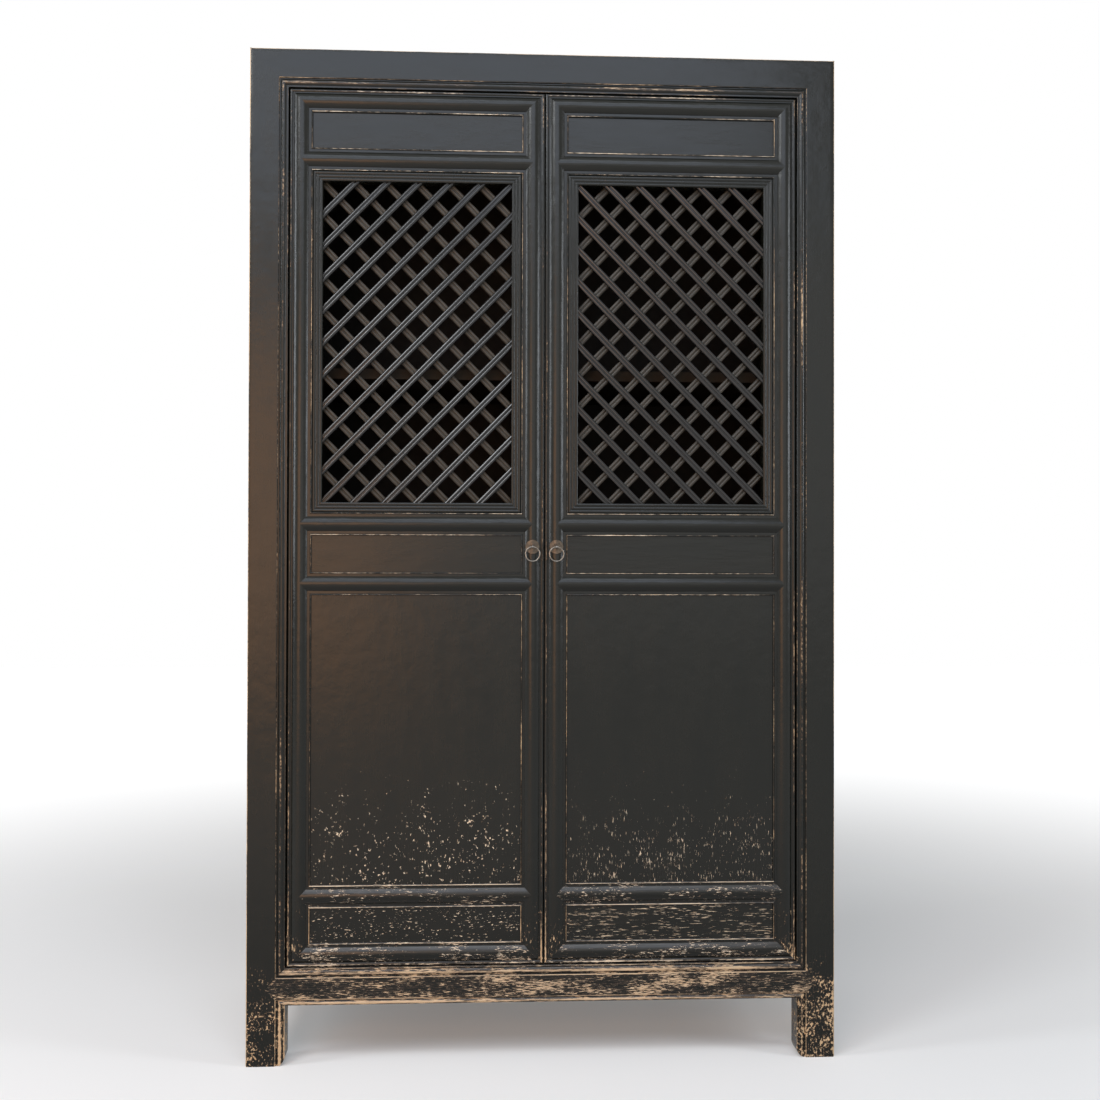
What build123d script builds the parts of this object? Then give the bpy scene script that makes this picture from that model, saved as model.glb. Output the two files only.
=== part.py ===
from build123d import *
import os
from math import hypot

# Two-door book cabinet: four posts, mitred top frame, pointed-shoulder rails, floating panels,
# and two framed doors with crossed lattice that swing on wooden pivots.
# Frame: origin at the middle of the footprint on the floor, +Z up, the front faces -Y. Sizes in mm.

os.makedirs("parts", exist_ok=True)

# Overall sizes
width = 1100.0
depth = 450.0
height = 1888.0

# Posts and top frame
post_face = 71.0            # width of a post, and height of the front top rail
post_depth = 45.0           # thickness of posts and of all frame rails, front to back
rear_face = 60.0            # width of a rear post, and height of the rear top rail
foot_inner_radius = 17.0    # rounding of the foot towards the opening under the cabinet
foot_outer_radius = 3.0
arris = 0.9                 # worn bevel on the long edges

# Moulding worked along the door opening
moulding_step = 3.0         # width and set-back of the innermost step
quirk = 1.0                 # narrow groove beside the bead
bead_width = 10.5
bead_crown = 0.6            # how far the bead's crown lies behind the face
hollow = 2.1                # flat groove between the bead and the face

# Bottom rails
rail_top_z = 179.0
rail_height = 68.0
lower_bead = 8.5            # bead along the lower edge of the front bottom rail
lap = 16.0                  # thickness of the shoulder that laps onto the post
tenon = 12.0                # thickness of a frame tenon
tenon_length = 30.0
tenon_inset = 12.0          # from the rail's edge to its tenon

# Panels and boards of the case
panel = 10.0
groove = 8.0                # depth of a groove for a floating panel
panel_play = 1.0            # room that a floating panel has in its groove
panel_setback = 9.0         # side and back panels behind the outer face of their frame
top_setback = 2.0           # top panel and floor board below the top of their frames
tongue = 5.0                # thickness of their tongues
batten_width = 32.0         # battens under the top panel and the floor board
batten_depth = 16.0
muntin_width = 60.0
board = 14.0
shelf = 20.0
upper_shelf_z = 1300.0      # top face of each shelf
lower_shelf_z = 745.0
shelf_clearance = 20.0      # between the doors' back and a shelf's front edge
bearer_height = 32.0
bearer_width = 20.0
stop_height = 14.0
stop_end = 90.0             # from the side of the opening to the end of a door stop

# Doors
door_gap = 2.0              # around a door
door_thickness = 34.0       # from the crown of the moulding to the back
member = 43.0               # width of every door stile and rail
fillet_band = 5.0           # flat beside the rounded face
line_bead = 3.0             # fine bead along each panel
edge_groove = 2.0           # between the flat and the bead along a door's outer edge
pillow_rise = 6.0           # of the rounded face
fillet_step = 1.0           # from the rounded face's side down to the flat
line_side = 0.8             # heights of the beads above the flat, at their sides and crowns
line_rise = 1.8
edge_side = 0.4
edge_rise = 1.4
shoulder = 2.0              # wood behind the flat in a mitred shoulder
door_tenon = 10.0
door_tenon_length = 26.0
tenon_margin = 2.0          # between a panel's groove and the tenon beside it
door_panel = 9.0
door_groove = 7.0
door_batten_width = 25.0    # battens behind the large panels
door_batten = 12.0
door_panel_play = 0.5
frieze_zone = 109.5         # between the crowns of the rails over and under each panel
waist_zone = 111.5
large_zone = 581.5
base_zone = 107.5

# Door pivots
pivot_inset = 18.0          # from the door's outer edge
pivot_depth = 14.0          # behind the crown
pin_radius = 8.0
pin_clearance = 0.08
top_pin = 20.0
bottom_pin = 15.0
pin_rest = 0.3              # between a pin's end and the floor of its socket
pin_chamfer = 1.5

# Lattice
sash = 18.5                 # width of the reeded frame round the lattice
sash_front = 6.5
reeds = 3
reed_rise = 1.2
cells_across = 6
cells_up = 10
bar_width = 12.5
bar_depth = 11.0
bar_front = 12.0            # front of the front layer behind the crown
bar_groove = 1.7            # depth of the groove between a bar's two ridges
layer_gap = 0.1

# Ring pulls
pull_rise = 69.5            # from the waist rail's crown to the pull
plate_radius = 13.4
plate_thickness = 1.5
plate_gap = 0.1
strip = 2.2                 # width of the strip that the cotter is bent from
strip_thickness = 1.1
eye_radius = 2.8            # middle of the strip in the cotter's eye
eye_offset = 3.8            # from the plate's face to the eye's centre
cotter_hole = 1.6
leg_length = 11.0
ring_radius = 13.4          # centreline of the ring
ring_wire = 1.35
wire_sides = 8              # of the hammered wire of a ring

# Worked-out places
front_y = -depth / 2
back_y = depth / 2
moulding = moulding_step + quirk + bead_width + hollow
opening_half = width / 2 - post_face
opening_top = height - post_face
door_left = opening_half - door_gap
door_width = door_left - door_gap / 2
door_top = opening_top - door_gap
door_bottom = rail_top_z + door_gap
half_member = member / 2
pillow = member - 2 * (line_bead + fillet_band)
pillow_radius = (pillow ** 2 / 4 + pillow_rise ** 2) / (2 * pillow_rise)
fillet_depth = pillow_rise + fillet_step
door_lap = fillet_depth + shoulder
top_rail_z = door_top - half_member
frieze_rail_z = top_rail_z - frieze_zone
bottom_rail_z = door_bottom + half_member
base_rail_z = bottom_rail_z + base_zone
waist_rail_z = base_rail_z + large_zone
sill_rail_z = waist_rail_z + waist_zone
pull_z = waist_rail_z + pull_rise
meeting_crown = door_width - half_member
inner_front = front_y + post_depth
inner_back = back_y - post_depth
side_inner = width / 2 - post_depth
top_panel_z = height - top_setback - panel
floor_board_z = rail_top_z - top_setback - board


def draw(steps, place):
    """Joins the steps of an outline; a step of two points is an arc through the first to the second."""
    at = steps[0]
    for step in steps[1:]:
        if isinstance(step[0], tuple):
            ThreePointArc(place(at), place(step[0]), place(step[1]))
            at = step[1]
        else:
            Line(place(at), place(step))
            at = step
    Line(place(at), place(steps[0]))


def across(low, high, edge, crown):
    """An arc over a strip, from one side to the other, with its crown in the middle."""
    return ((low + high) / 2, crown), (high, edge)


def ridge(low, high, edge, crown):
    """A narrow bead, flat on top with sloping sides, from one side of a strip to the other."""
    slope = (high - low) / 4
    return [(low, edge), (low + slope, crown), (high - slope, crown), (high, edge)]


def opening_moulding(back):
    """Outline from the opening's edge to the flat face: step, quirk, bead, groove and worn bevel."""
    bead_start = moulding_step + quirk
    bead_end = bead_start + bead_width
    return [(0, back), (0, moulding_step), (moulding_step, moulding_step),
            (moulding_step, moulding_step + quirk), (bead_start, moulding_step + quirk),
            (bead_start, moulding_step), across(bead_start, bead_end, moulding_step, bead_crown),
            (moulding, moulding_step), (moulding, arris), (moulding + arris, 0)]


def post_outline():
    return opening_moulding(post_depth) + [(post_face - arris, 0), (post_face, arris),
                                           (post_face, post_depth)]


def bottom_rail_outline():
    """Moulding above, flat face, then a groove and a bead along the lower edge."""
    bead_start = rail_height - lower_bead
    return opening_moulding(lap) + [(bead_start - hollow - arris, 0), (bead_start - hollow, arris),
                                    (bead_start - hollow, moulding_step), (bead_start, moulding_step),
                                    across(bead_start, rail_height, moulding_step, bead_crown),
                                    (rail_height, lap)]


def door_half_outline():
    """From a panel's edge over the fine bead and the flat band to the start of the rounded face."""
    start = line_bead + fillet_band
    bead = ridge(0, line_bead, fillet_depth - line_side, fillet_depth - line_rise)
    return bead + [(line_bead, fillet_depth), (start, fillet_depth), (start, pillow_rise)]


def door_edge_outline(back):
    """A stile, or the top or bottom rail: fine bead, band, rounded face, groove and edge bead."""
    start = line_bead + fillet_band
    end = start + pillow
    edge = end + edge_groove
    side = fillet_depth - edge_side
    return [(0, back)] + door_half_outline() + [
        across(start, end, pillow_rise, 0), (end, fillet_depth), (edge, fillet_depth),
        (edge, side), across(edge, member, side, fillet_depth - edge_rise), (member, back)]


def door_middle_outline(back):
    """A rail between two panels: the same fine bead and band on both sides of the rounded face."""
    start = line_bead + fillet_band
    end = start + pillow
    bead = ridge(member - line_bead, member, fillet_depth - line_side, fillet_depth - line_rise)
    return [(0, back)] + door_half_outline() + [
        across(start, end, pillow_rise, 0), (end, fillet_depth), (member - line_bead, fillet_depth),
        ] + bead + [(member, back)]


def write(piece, name):
    piece.label = name
    export_step(piece, "parts/" + name + ".step")


def block(x0, x1, y0, y1, z0, z1, mode=Mode.ADD):
    """A box from its lowest to its highest corner."""
    with Locations(((x0 + x1) / 2, (y0 + y1) / 2, (z0 + z1) / 2)):
        Box(abs(x1 - x0), abs(y1 - y0), abs(z1 - z0), mode=mode)


def face_prism(points, y0, y1, mode):
    """A prism through the thickness, from its outline as seen from the front."""
    with BuildSketch(Plane.XZ.offset(-y1)) as outline:
        with BuildLine():
            Polyline(*points, close=True)
        make_face()
    extrude(outline.sketch, amount=y1 - y0, mode=mode)


def corner_plane(side, rear, first, second):
    """A 45 degree plane through the outer top corner, between the distances along two axes."""
    axes = {"x": Vector(-side, 0, 0), "y": Vector(0, -1 if rear else 1, 0), "z": Vector(0, 0, -1)}
    corner = (side * width / 2, back_y if rear else front_y, height)
    return Plane(origin=corner, z_dir=axes[first] - axes[second])


# ---- Case: posts ----

def front_post(side):
    inner = side * opening_half
    laps = [(0, rail_top_z), (moulding, rail_top_z - moulding)]
    low = rail_top_z - rail_height
    flat_half = (rail_height - moulding - lower_bead - hollow) / 2
    laps += [(moulding + flat_half, rail_top_z - moulding - flat_half),
             (moulding, low + lower_bead + hollow), (0, low)]
    with BuildPart() as post:
        with BuildSketch(Plane.XY):
            with BuildLine():
                draw(post_outline(), lambda p: (inner + side * p[0], front_y + p[1]))
            make_face()
        extrude(amount=height)
        foot = post.edges().filter_by(Axis.Y).group_by(Axis.Z)[0].sort_by(Axis.X)
        fillet(foot[0 if side > 0 else -1], foot_inner_radius)
        foot = post.edges().filter_by(Axis.Y).group_by(Axis.Z)[0].sort_by(Axis.X)
        fillet(foot[-1 if side > 0 else 0], foot_outer_radius)
        split(bisect_by=corner_plane(side, False, "z", "x"))
        split(bisect_by=corner_plane(side, False, "z", "y"))
        face_prism([(inner + side * u, z) for u, z in laps], front_y, front_y + lap, Mode.SUBTRACT)
        block(inner, inner + side * tenon_length, front_y + lap, front_y + lap + tenon,
              low + tenon_inset, rail_top_z - tenon_inset, Mode.SUBTRACT)
        side_mortise(side, False)
        side_groove(side)
    return post.part


def rear_post(side):
    outer = side * width / 2
    inner = outer - side * rear_face
    with BuildPart() as post:
        block(inner, outer, inner_back, back_y, 0, height)
        chamfer(post.edges().filter_by(Axis.Z), arris)
        split(bisect_by=corner_plane(side, True, "z", "x"))
        split(bisect_by=corner_plane(side, True, "z", "y"))
        rear_tenons(side, Mode.SUBTRACT)
        side_mortise(side, True)
        side_groove(side)
        back_groove()
    return post.part


def side_mortise(side, rear):
    """The pocket that takes a side bottom rail's tenon."""
    face = inner_back if rear else inner_front
    into = tenon_length if rear else -tenon_length
    outer = side * (width / 2 - tenon_inset)
    block(outer, outer - side * tenon, face, face + into, rail_top_z - rail_height + tenon_inset,
          rail_top_z - tenon_inset, Mode.SUBTRACT)


def rear_tenons(side, mode):
    """The tenon of the rear bottom rail at one end, or its pocket."""
    inner = side * (width / 2 - rear_face)
    block(inner, inner + side * tenon_length, inner_back + tenon_inset, inner_back + tenon_inset + tenon,
          rail_top_z - rail_height + tenon_inset, rail_top_z - tenon_inset, mode)


def side_groove(side, play=0.0, mode=Mode.SUBTRACT):
    """The side panel, or the groove that holds it in the posts and the side rails."""
    outer = side * (width / 2 - panel_setback)
    reach = groove - play
    block(outer, outer - side * panel, inner_front - reach, inner_back + reach,
          rail_top_z - reach, height - post_depth + reach, mode)


def back_groove(play=0.0, mode=Mode.SUBTRACT, sides=(-1, 1)):
    """The two back panels, or their grooves in the rear posts, rear rails and muntin."""
    reach = groove - play
    for side in sides:
        block(side * (muntin_width / 2 - reach), side * (width / 2 - rear_face + reach),
              back_y - panel_setback - panel, back_y - panel_setback,
              rail_top_z - reach, height - rear_face + reach, mode)


def level_groove(low, play=0.0, mode=Mode.SUBTRACT):
    """The tongue of the top panel or of the floor board, or its groove in the rails around."""
    reach = groove - play
    block(-side_inner - reach, side_inner + reach, inner_front - reach, inner_back + reach,
          low, low + tongue, mode)


def level_field(low, high):
    """The board itself, clear of the rails around it, with two battens across its underside."""
    front = inner_front + panel_play
    back = inner_back - panel_play
    block(-side_inner + panel_play, side_inner - panel_play, front, back, low, high)
    for middle in (-side_inner / 2, side_inner / 2):
        block(middle - batten_width / 2, middle + batten_width / 2, front, back, low - batten_depth, low)


def pivot_socket(low, high):
    """The round sockets of both doors' pivots, from one height to another."""
    for side in (-1, 1):
        with Locations((at_door(side, pivot_inset), front_y + pivot_depth, (low + high) / 2)):
            Cylinder(pin_radius + pin_clearance, high - low, mode=Mode.SUBTRACT)


# ---- Case: rails ----

def front_top_rail():
    with BuildPart() as rail:
        with BuildSketch(Plane.YZ.offset(-width / 2)):
            with BuildLine():
                draw(post_outline(), lambda p: (front_y + p[1], opening_top + p[0]))
            make_face()
        extrude(amount=width)
        for side in (-1, 1):
            split(bisect_by=corner_plane(side, False, "x", "z"))
            split(bisect_by=corner_plane(side, False, "x", "y"))
        pivot_socket(opening_top, door_top + top_pin + pin_rest)
        level_groove(top_panel_z)
    return rail.part


def rear_top_rail():
    with BuildPart() as rail:
        block(-width / 2, width / 2, inner_back, back_y, height - rear_face, height)
        chamfer(rail.edges().filter_by(Axis.X), arris)
        for side in (-1, 1):
            split(bisect_by=corner_plane(side, True, "x", "z"))
            split(bisect_by=corner_plane(side, True, "x", "y"))
        back_groove()
        level_groove(top_panel_z)
    return rail.part


def side_top_rail(side):
    with BuildPart() as rail:
        block(side * side_inner, side * width / 2, front_y, back_y, height - post_depth, height)
        chamfer(rail.edges().filter_by(Axis.Y), arris)
        for rear in (False, True):
            split(bisect_by=corner_plane(side, rear, "y", "x"))
            split(bisect_by=corner_plane(side, rear, "y", "z"))
        side_groove(side)
        level_groove(top_panel_z)
    return rail.part


def front_bottom_rail():
    low = rail_top_z - rail_height
    flat_half = (rail_height - moulding - lower_bead - hollow) / 2
    end = [(0, rail_top_z), (moulding, rail_top_z - moulding),
           (moulding + flat_half, rail_top_z - moulding - flat_half),
           (moulding, low + lower_bead + hollow), (0, low)]
    reach = opening_half + moulding + flat_half
    with BuildPart() as rail:
        with BuildSketch(Plane.YZ.offset(-reach)):
            with BuildLine():
                draw(bottom_rail_outline(), lambda p: (front_y + p[1], rail_top_z - p[0]))
            make_face()
        extrude(amount=2 * reach)
        outline = [(-opening_half - u, z) for u, z in end]
        outline += [(opening_half + u, z) for u, z in reversed(end)]
        face_prism(outline, front_y, front_y + lap, Mode.INTERSECT)
        block(-opening_half, opening_half, front_y + lap, inner_front, low, rail_top_z)
        block(-opening_half - tenon_length, opening_half + tenon_length, front_y + lap,
              front_y + lap + tenon, low + tenon_inset, rail_top_z - tenon_inset)
        pivot_socket(door_bottom - bottom_pin - pin_rest, rail_top_z)
        level_groove(floor_board_z)
    return rail.part


def rear_bottom_rail():
    inner = width / 2 - rear_face
    with BuildPart() as rail:
        block(-inner, inner, inner_back, back_y, rail_top_z - rail_height, rail_top_z)
        for side in (-1, 1):
            rear_tenons(side, Mode.ADD)
        back_groove()
        level_groove(floor_board_z)
    return rail.part


def side_bottom_rail(side):
    low = rail_top_z - rail_height
    outer = side * (width / 2 - tenon_inset)
    with BuildPart() as rail:
        block(side * side_inner, side * width / 2, inner_front, inner_back, low, rail_top_z)
        block(outer, outer - side * tenon, inner_front - tenon_length, inner_back + tenon_length,
              low + tenon_inset, rail_top_z - tenon_inset)
        side_groove(side)
        level_groove(floor_board_z)
    return rail.part


def back_muntin():
    with BuildPart() as muntin:
        block(-muntin_width / 2, muntin_width / 2, inner_back, back_y, rail_top_z, height - rear_face)
        back_groove()
    return muntin.part


# ---- Case: panels, boards and shelves ----

def side_panel(side):
    with BuildPart() as sheet:
        side_groove(side, panel_play, Mode.ADD)
    return sheet.part


def back_panel(side):
    with BuildPart() as sheet:
        back_groove(panel_play, Mode.ADD, (side,))
    return sheet.part


def top_panel():
    with BuildPart() as sheet:
        level_groove(top_panel_z, panel_play, Mode.ADD)
        level_field(top_panel_z, height - top_setback)
    return sheet.part


def bottom_board():
    """The floor of the cabinet, notched round the four posts."""
    with BuildPart() as sheet:
        level_groove(floor_board_z, panel_play, Mode.ADD)
        level_field(floor_board_z, rail_top_z - top_setback)
        for side in (-1, 1):
            notch = width / 2 - post_face - panel_play
            block(side * notch, side * width / 2, front_y, inner_front + panel_play, 0,
                  rail_top_z, Mode.SUBTRACT)
            notch = width / 2 - rear_face - panel_play
            block(side * notch, side * width / 2, inner_back - panel_play, back_y, 0,
                  rail_top_z, Mode.SUBTRACT)
    return sheet.part


def shelf_board(top):
    """A shelf between the side panels, notched round the four posts."""
    reach = width / 2 - panel_setback - panel - panel_play
    back = back_y - panel_setback - panel - panel_play
    with BuildPart() as sheet:
        block(-reach, reach, front_y + door_thickness + shelf_clearance, back, top - shelf, top)
        fillet(sheet.edges().filter_by(Axis.X).group_by(Axis.Y)[0], arris)
        for side in (-1, 1):
            notch = width / 2 - rear_face - panel_play
            block(side * notch, side * width / 2, inner_back - panel_play, back_y, top - shelf,
                  top, Mode.SUBTRACT)
        block(-muntin_width / 2 - panel_play, muntin_width / 2 + panel_play, inner_back - panel_play,
              back_y, top - shelf, top, Mode.SUBTRACT)
    return sheet.part


def shelf_bearers(side):
    """Two bearers from front post to rear post, one under each shelf."""
    outer = side * (width / 2 - panel_setback - panel)
    inner = outer - side * bearer_width
    with BuildPart() as bearers:
        for top in (upper_shelf_z, lower_shelf_z):
            block(outer, inner, inner_front, inner_back, top - shelf - bearer_height, top - shelf)
    return bearers.part


def door_stops():
    """Two strips that the doors close against, short of the corners that swing inwards."""
    reach = opening_half - stop_end
    front = front_y + door_thickness
    with BuildPart() as stops:
        block(-reach, reach, front, inner_front, opening_top - stop_height, opening_top)
        block(-reach, reach, front, inner_front, rail_top_z, rail_top_z + stop_height)
        fillet(stops.edges().filter_by(Axis.X).group_by(Axis.Y)[-1], 2 * arris)
    return stops.part


# ---- Doors: places ----

def at_door(side, inward):
    """X at a distance from the door's outer edge towards the middle of the cabinet."""
    return side * (door_left - inward)


middle_rails = {"frieze_rail": frieze_rail_z, "sill_rail": sill_rail_z,
                "waist_rail": waist_rail_z, "base_rail": base_rail_z}
panel_zones = {"frieze_panel": (frieze_rail_z, top_rail_z), "waist_panel": (waist_rail_z, sill_rail_z),
               "large_panel": (base_rail_z, waist_rail_z), "base_panel": (bottom_rail_z, base_rail_z)}


def panel_pocket(side, zone, play=0.0, mode=Mode.SUBTRACT):
    """A door panel with its tongue, or the groove for it in the members around."""
    low, high = panel_zones[zone]
    reach = door_groove - play
    block(at_door(side, member - reach), at_door(side, door_width - member + reach),
          front_y + door_lap, front_y + door_lap + door_panel,
          low + half_member - reach, high - half_member + reach, mode)


def rail_tenons(side, centre, mode):
    """A door rail's tenons at both ends, or their pockets in the stiles."""
    half = half_member - door_groove - tenon_margin
    start = door_lap + door_panel
    for inner, end in ((member, member - door_tenon_length),
                       (door_width - member, door_width - member + door_tenon_length)):
        block(at_door(side, inner), at_door(side, end), front_y + start, front_y + start + door_tenon,
              centre - half, centre + half, mode)


def lap_points(side, low, high, centre, hinge):
    """The pointed notch that a rail's mitred shoulder fills in a stile."""
    inner = member if hinge else door_width - member
    point = member - half_member if hinge else door_width - member + half_member
    return [(at_door(side, inner), low), (at_door(side, point), centre), (at_door(side, inner), high)]


# ---- Doors: members ----

def stile(side, hinge):
    toward = -1 if hinge else 1
    inner = member if hinge else door_width - member
    outer = 0 if hinge else door_width
    with BuildPart() as piece:
        with BuildSketch(Plane.XY.offset(door_bottom)):
            with BuildLine():
                draw(door_edge_outline(door_thickness),
                     lambda p: (at_door(side, inner + toward * p[0]), front_y + p[1]))
            make_face()
        extrude(amount=door_top - door_bottom)
        for end, step in ((door_top, -member), (door_bottom, member)):
            mitre = [(at_door(side, outer), end), (at_door(side, inner), end + step),
                     (at_door(side, inner), end)]
            face_prism(mitre, front_y, front_y + door_lap, Mode.SUBTRACT)
        for centre in middle_rails.values():
            points = lap_points(side, centre - half_member, centre + half_member, centre, hinge)
            face_prism(points, front_y, front_y + door_lap, Mode.SUBTRACT)
        for centre in (*middle_rails.values(), top_rail_z, bottom_rail_z):
            rail_tenons(side, centre, Mode.SUBTRACT)
        for zone in panel_zones:
            panel_pocket(side, zone)
        if hinge:
            pivot_pins(side)
            chamfer(piece.faces().sort_by(Axis.Z)[0].edges(), pin_chamfer)
            chamfer(piece.faces().sort_by(Axis.Z)[-1].edges(), pin_chamfer)
        else:
            with Locations(Location((at_door(side, meeting_crown), front_y, pull_z), (90, 0, 0))):
                Cylinder(cotter_hole, 2 * door_thickness + pillow, mode=Mode.SUBTRACT)
    return piece.part


def pivot_pins(side):
    """Round pins that run on from the stile's ends into the sockets of the case."""
    for start, end in ((door_top, door_top + top_pin), (door_bottom - bottom_pin, door_bottom)):
        with Locations((at_door(side, pivot_inset), front_y + pivot_depth, (start + end) / 2)):
            Cylinder(pin_radius, end - start)


def end_rail(side, top):
    """The top or bottom rail of a door, mitred across its full width at both corners."""
    outer = door_top if top else door_bottom
    toward = 1 if top else -1
    inner = outer - toward * member
    start = at_door(side, 0)
    with BuildPart() as rail:
        with BuildSketch(Plane.YZ.offset(min(start, at_door(side, door_width)))):
            with BuildLine():
                draw(door_edge_outline(door_lap), lambda p: (front_y + p[1], inner + toward * p[0]))
            make_face()
        extrude(amount=door_width)
        face_prism([(start, outer), (at_door(side, member), inner),
                    (at_door(side, door_width - member), inner), (at_door(side, door_width), outer)],
                   front_y, front_y + door_lap, Mode.INTERSECT)
        rail_core(side, inner, outer)
        rail_tenons(side, (inner + outer) / 2, Mode.ADD)
        for zone in panel_zones:
            panel_pocket(side, zone)
    return rail.part


def rail_core(side, low, high):
    """The square body of a rail behind its mitred shoulders."""
    block(at_door(side, member), at_door(side, door_width - member), front_y + door_lap,
          front_y + door_thickness, low, high)


def middle_rail(side, centre):
    low = centre - half_member
    high = centre + half_member
    tips = (at_door(side, half_member), at_door(side, door_width - half_member))
    inners = (at_door(side, member), at_door(side, door_width - member))
    with BuildPart() as rail:
        with BuildSketch(Plane.YZ.offset(min(tips))):
            with BuildLine():
                draw(door_middle_outline(door_lap), lambda p: (front_y + p[1], low + p[0]))
            make_face()
        extrude(amount=max(tips) - min(tips))
        face_prism([(tips[0], centre), (inners[0], high), (inners[1], high), (tips[1], centre),
                    (inners[1], low), (inners[0], low)], front_y, front_y + door_lap, Mode.INTERSECT)
        rail_core(side, low, high)
        rail_tenons(side, centre, Mode.ADD)
        for zone in panel_zones:
            panel_pocket(side, zone)
    return rail.part


def door_panel_sheet(side, zone):
    with BuildPart() as sheet:
        panel_pocket(side, zone, door_panel_play, Mode.ADD)
        if zone == "large_panel":
            door_battens(side, *panel_zones[zone])
    return sheet.part


def door_battens(side, low, high):
    """Two battens across the back of a large panel, a quarter of its height from its ends."""
    ends = (at_door(side, member + door_panel_play), at_door(side, door_width - member - door_panel_play))
    start = front_y + door_lap + door_panel
    for middle in ((3 * low + high) / 4, (low + 3 * high) / 4):
        block(*ends, start, start + door_batten, middle - door_batten_width / 2,
              middle + door_batten_width / 2)


# ---- Doors: lattice ----

sash_low = sill_rail_z + half_member
sash_high = frieze_rail_z - half_member
lattice_low = sash_low + sash
lattice_high = sash_high - sash
lattice_width = door_width - 2 * member - 2 * sash


def sash_outline():
    """A strip of the reeded frame, from its inner edge outwards."""
    reed = sash / reeds
    edge = sash_front + reed_rise
    steps = [(0, door_thickness), (0, edge)]
    for index in range(reeds):
        steps.append(across(index * reed, (index + 1) * reed, edge, sash_front))
    return steps + [(sash, door_thickness)]


def sash_upright(side, hinge):
    outer = member if hinge else door_width - member
    toward = 1 if hinge else -1
    with BuildPart() as strip:
        with BuildSketch(Plane.XY.offset(sash_low)):
            with BuildLine():
                draw(sash_outline(),
                     lambda p: (at_door(side, outer + toward * (sash - p[0])), front_y + p[1]))
            make_face()
        extrude(amount=sash_high - sash_low)
        face_prism([(at_door(side, outer), sash_low), (at_door(side, outer + toward * sash), lattice_low),
                    (at_door(side, outer + toward * sash), lattice_high), (at_door(side, outer), sash_high)],
                   front_y, front_y + door_thickness, Mode.INTERSECT)
    return strip.part


def sash_level(side, top):
    outer = sash_high if top else sash_low
    toward = -1 if top else 1
    ends = (at_door(side, member), at_door(side, door_width - member))
    inners = (at_door(side, member + sash), at_door(side, door_width - member - sash))
    with BuildPart() as strip:
        with BuildSketch(Plane.YZ.offset(min(ends))):
            with BuildLine():
                draw(sash_outline(), lambda p: (front_y + p[1], outer + toward * (sash - p[0])))
            make_face()
        extrude(amount=max(ends) - min(ends))
        face_prism([(ends[0], outer), (inners[0], outer + toward * sash),
                    (inners[1], outer + toward * sash), (ends[1], outer)],
                   front_y, front_y + door_thickness, Mode.INTERSECT)
    return strip.part


def lattice_sash(side):
    """Four mitred strips round the lattice."""
    strips = [sash_upright(side, True), sash_upright(side, False),
              sash_level(side, True), sash_level(side, False)]
    return Compound(children=strips)


def bar_outline(front):
    """A bar with two ridges and a groove between them."""
    half = bar_width / 2
    edge = front + bar_groove
    return [(-half, front + bar_depth)] + ridge(-half, 0, edge, front) + [
        *ridge(0, half, edge, front)[1:], (half, front + bar_depth)]


def lattice_bars(side, front, slope):
    """One layer of parallel bars between the cell corners, cut off at the reeded frame."""
    cell_x = lattice_width / cells_across
    cell_z = (lattice_high - lattice_low) / cells_up
    length = hypot(cell_x, cell_z)
    run = Vector(cell_x, 0, slope * cell_z) / length
    over = Vector(slope * cell_z, 0, -cell_x) / length
    middle_x = at_door(side, door_width / 2)
    middle_z = (lattice_low + lattice_high) / 2
    count = cells_across + cells_up - 1
    reach = lattice_high - lattice_low + lattice_width
    with BuildPart() as layer:
        for index in range(count):
            shift = index - (count - 1) / 2
            origin = (middle_x, front_y, middle_z + shift * cell_z)
            with BuildSketch(Plane(origin=origin, x_dir=over, z_dir=run)):
                with BuildLine():
                    draw(bar_outline(front), lambda p: p)
                make_face()
            extrude(amount=reach / 2, both=True)
        block(at_door(side, member + sash), at_door(side, door_width - member - sash), front_y,
              front_y + door_thickness + bar_depth, lattice_low, lattice_high, Mode.INTERSECT)
    return layer.part


# ---- Doors: ring pulls ----

eye_y = front_y - plate_gap - plate_thickness - eye_offset


def pull_plate(side):
    """A round plate bent over the rounded face of the meeting stile."""
    centre_x = at_door(side, meeting_crown)
    axis_y = front_y + pillow_radius
    with BuildPart() as plate:
        with BuildSketch(Plane.XY.offset(pull_z - plate_radius)):
            with Locations((centre_x, axis_y)):
                Circle(pillow_radius + plate_gap + plate_thickness)
                Circle(pillow_radius + plate_gap, mode=Mode.SUBTRACT)
        extrude(amount=2 * plate_radius)
        with BuildSketch(Plane.XZ.offset(-axis_y)):
            with Locations((centre_x, pull_z)):
                Circle(plate_radius)
                Circle(cotter_hole, mode=Mode.SUBTRACT)
        extrude(amount=2 * pillow_radius, mode=Mode.INTERSECT)
    return plate.part


def pull_cotter(side):
    """A folded strip: its eye in front, two layers through the stile and two legs bent flat behind."""
    centre_x = at_door(side, meeting_crown)
    back = front_y + door_thickness
    with BuildPart() as pin:
        block(centre_x - strip / 2, centre_x + strip / 2, eye_y + eye_radius, back,
              pull_z - strip_thickness, pull_z + strip_thickness)
        block(centre_x - leg_length, centre_x + leg_length, back, back + strip_thickness,
              pull_z - strip / 2, pull_z + strip / 2)
        with BuildSketch(Plane.XY.offset(pull_z)):
            with Locations((centre_x, eye_y - eye_radius)):
                Rectangle(strip, strip_thickness)
        revolve(axis=Axis((centre_x, eye_y, pull_z), (1, 0, 0)))
    return pin.part


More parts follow.
